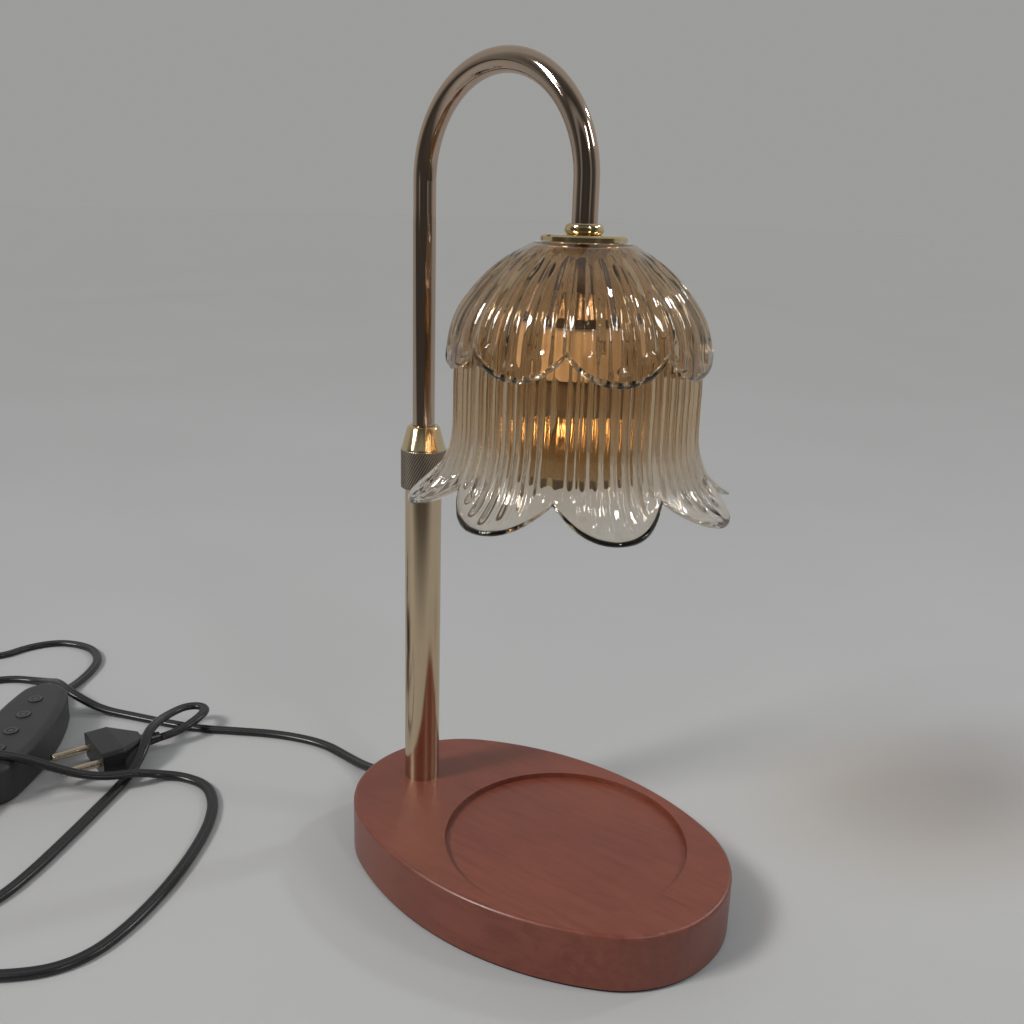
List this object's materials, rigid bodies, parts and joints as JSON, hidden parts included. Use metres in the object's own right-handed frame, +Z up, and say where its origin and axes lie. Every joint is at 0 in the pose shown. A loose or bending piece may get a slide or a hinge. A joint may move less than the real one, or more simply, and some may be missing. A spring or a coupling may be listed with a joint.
{
  "type": "candle warmer lamp",
  "caption": "Table lamp that warms a jar candle: oval wooden base, telescopic swan-neck arm, tulip glass shade over the jar's place, in-line dimmer and plug.",
  "frame": {"origin": "centre of the oval base on the surface it stands on", "axes": "+Z up, +X along the base from the stem towards the candle's place"},
  "size_m": [0.5267, 0.2525, 0.3414],
  "materials": {
    "stained_wood": "satin reddish brown stain with fine straight grain",
    "black_foam": "matte foam pad",
    "black_plastic": "fine moulded texture",
    "white_nylon": "smooth moulded nylon",
    "zinc_steel": "zinc plated",
    "champagne_gold": "satin champagne gold plating",
    "polished_gold": "polished rose gold plating",
    "yellow_brass": "turned brass",
    "clear_silicone": "soft translucent",
    "amber_glass": "amber lustre pressed glass",
    "dark_metal": "dark plated steel",
    "white_ceramic": null,
    "bulb_ceramic": "pressed glass ceramic base",
    "reflector_glass": "dichroic reflector",
    "clear_glass": "clear",
    "black_cord": "smooth flexible insulation",
    "green_board": "circuit board",
    "switch_black": "moulded",
    "button_black": "soft touch with an engraved ring",
    "plug_black": "moulded",
    "nickel_pin": "nickel plated brass"
  },
  "bodies": {
    "base": {"base_block": "stained_wood", "base_pad": "black_foam", "cord_grommet": "black_plastic", "cord_clamp": "white_nylon", "cord_clamp_screws": "zinc_steel", "stem_washer": "zinc_steel", "stem_nut": "zinc_steel", "stem_nipple": "zinc_steel", "tube_plug": "zinc_steel", "lower_tube": "champagne_gold", "collet_body": "yellow_brass", "grip_ring": "white_nylon", "base_lead": "black_cord", "dimmer_base": "black_plastic", "dimmer_cover": "black_plastic", "dimmer_board": "green_board", "dimmer_switches": "switch_black", "dimmer_screws": "zinc_steel", "dimmer_relief_lamp": "black_cord", "dimmer_relief_plug": "black_cord", "plug_body": "plug_black", "plug_relief": "black_cord", "plug_pins": "nickel_pin", "cord_coil": "black_cord", "lamp_cord": "black_cord", "dimmer_cord": "black_cord", "plug_cord": "black_cord"},
    "slider": {"guide_bush": "white_nylon"},
    "arm": {"upper_tube": "polished_gold", "bush_clips": "zinc_steel", "neck_collar": "polished_gold", "cover_disc": "polished_gold", "upper_gasket": "clear_silicone", "lower_gasket": "clear_silicone", "shade_nut": "zinc_steel", "glass_shade": "amber_glass", "holder_cap": "dark_metal", "lamp_holder": "white_ceramic", "holder_contacts": "yellow_brass", "arm_lead": "black_cord"},
    "bulb": {"bulb_base": "bulb_ceramic", "bulb_reflector": "reflector_glass", "bulb_lens": "clear_glass", "bulb_capsule": "clear_glass", "bulb_pins": "zinc_steel"},
    "nut": {"lock_nut": "yellow_brass"},
    "button_1": {"button_1": "button_black"},
    "button_2": {"button_2": "button_black"},
    "button_3": {"button_3": "button_black"},
    "button_4": {"button_4": "button_black"}
  },
  "joints": [
    {"name": "height_slide", "type": "slide", "parent": "base", "child": "slider", "axis": [0, 0, 1], "range_m": [-0.095, 0.0075]},
    {"name": "arm_swivel", "type": "hinge", "parent": "slider", "child": "arm", "pos_m": [-0.0652, 0, 0.15], "axis": [0, 0, 1], "range_deg": [-82.8, 97.2]},
    {"name": "bulb_twist", "type": "hinge", "parent": "arm", "child": "bulb", "pos_m": [0.01893, -0.01063, 0.2255], "axis": [0, 0, 1], "range_deg": [-25, 0]},
    {"name": "nut_turn", "type": "hinge", "parent": "base", "child": "nut", "pos_m": [-0.0652, 0, 0.18], "axis": [0, 0, 1], "range_deg": [0, 180]},
    {"name": "button_1_press", "type": "slide", "parent": "base", "child": "button_1", "axis": [0, 0, -1], "range_m": [0, 0.0006], "stiffness_N_per_m": 800},
    {"name": "button_2_press", "type": "slide", "parent": "base", "child": "button_2", "axis": [0, 0, -1], "range_m": [0, 0.0006], "stiffness_N_per_m": 800},
    {"name": "button_3_press", "type": "slide", "parent": "base", "child": "button_3", "axis": [0, 0, -1], "range_m": [0, 0.0006], "stiffness_N_per_m": 800},
    {"name": "button_4_press", "type": "slide", "parent": "base", "child": "button_4", "axis": [0, 0, -1], "range_m": [0, 0.0006], "stiffness_N_per_m": 800}
  ]
}
